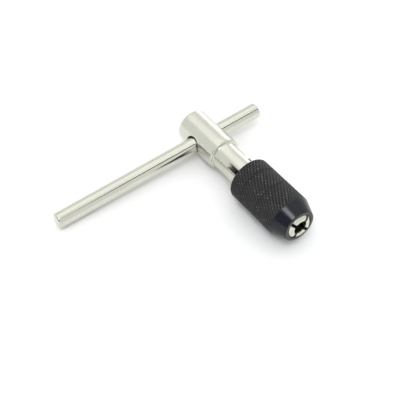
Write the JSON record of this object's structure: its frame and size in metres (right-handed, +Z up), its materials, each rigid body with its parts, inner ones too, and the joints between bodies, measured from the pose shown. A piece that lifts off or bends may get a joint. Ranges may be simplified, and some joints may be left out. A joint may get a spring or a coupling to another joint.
{
  "type": "tap wrench",
  "caption": "T-handle tap wrench: a sliding cross bar through a round head, and a slotted four-jaw spring chuck closed by a knurled taper nut.",
  "frame": {"origin": "centre of the bounding box's footprint, on the surface that the tool lies on", "axes": "+X towards the chuck's nose, 3.5 degrees below the tool's own axis, which rises towards the nose; +Y towards the cross bar's short end; +Z up, with the tool lying on the nut's rear rim, the head's rear edge and the bar's long end"},
  "size_m": [0.0758, 0.1036, 0.0215],
  "materials": {
    "nickel_plate": "nickel plated steel, bright, with fine drawing and turning marks",
    "jaw_steel": "nickel plated spring steel, saw-cut slot faces",
    "black_oxide": "blackened steel, knurled round the grip, smooth on the nose cone",
    "hardened_steel": "hardened and ground, straw-brown temper colour",
    "bearing_steel": "polished ball",
    "spring_steel": "drawn spring wire"
  },
  "bodies": {
    "spindle": {"spindle": "nickel_plate", "detent_plug": "black_oxide", "detent_spring": "spring_steel"},
    "cross_bar": {"cross_bar": "nickel_plate"},
    "detent_ball": {"detent_ball": "bearing_steel"},
    "closing_ring": {"closing_ring": "hardened_steel"},
    "chuck_nut": {"chuck_nut": "black_oxide"},
    "jaw_1": {"jaw_1": "jaw_steel"},
    "jaw_2": {"jaw_2": "jaw_steel"},
    "jaw_3": {"jaw_3": "jaw_steel"},
    "jaw_4": {"jaw_4": "jaw_steel"}
  },
  "joints": [
    {"name": "bar_slide", "type": "slide", "parent": "spindle", "child": "cross_bar", "axis": [-0.0035, 0.9983, 0.0582], "range_m": [-0.0195, 0.068]},
    {"name": "ball_press", "type": "slide", "parent": "spindle", "child": "detent_ball", "axis": [0.9981, 0, 0.0609], "range_m": [0, 0.0005], "stiffness_N_per_m": 500, "springref_m": -0.001, "deforming": ["detent_spring"]},
    {"name": "nut_travel", "type": "slide", "parent": "spindle", "child": "closing_ring", "axis": [0.9981, 0, 0.0609], "range_m": [-0.0015, 0.00285]},
    {"name": "nut_turn", "type": "hinge", "parent": "closing_ring", "child": "chuck_nut", "pos_m": [0.00341, 0.0242, 0.00992], "axis": [0.9981, 0, 0.0609], "range_deg": [-541, 1027]},
    {"name": "jaw_1_flex", "type": "hinge", "parent": "spindle", "child": "jaw_1", "pos_m": [-0.00489, 0.02939, 0.00972], "axis": [-0.0608, -0.0583, 0.9965], "range_deg": [-0.57, 1.08]},
    {"name": "jaw_2_flex", "type": "hinge", "parent": "spindle", "child": "jaw_2", "pos_m": [-0.00456, 0.0245, 0.00424], "axis": [-0.0035, 0.9983, 0.0582], "range_deg": [-0.57, 1.08]},
    {"name": "jaw_3_flex", "type": "hinge", "parent": "spindle", "child": "jaw_3", "pos_m": [-0.00485, 0.01901, 0.00911], "axis": [0.0608, 0.0583, -0.9965], "range_deg": [-0.57, 1.08]},
    {"name": "jaw_4_flex", "type": "hinge", "parent": "spindle", "child": "jaw_4", "pos_m": [-0.00519, 0.02389, 0.0146], "axis": [0.0035, -0.9983, -0.0582], "range_deg": [-0.57, 1.08]}
  ],
  "couplings": [
    {"joint": "nut_turn", "follows": "nut_travel", "rad_per_m": 6283.2},
    {"joint": "jaw_1_flex", "follows": "nut_travel", "rad_per_m": 6.5728},
    {"joint": "jaw_2_flex", "follows": "nut_travel", "rad_per_m": 6.5728},
    {"joint": "jaw_3_flex", "follows": "nut_travel", "rad_per_m": 6.5728},
    {"joint": "jaw_4_flex", "follows": "nut_travel", "rad_per_m": 6.5728}
  ]
}
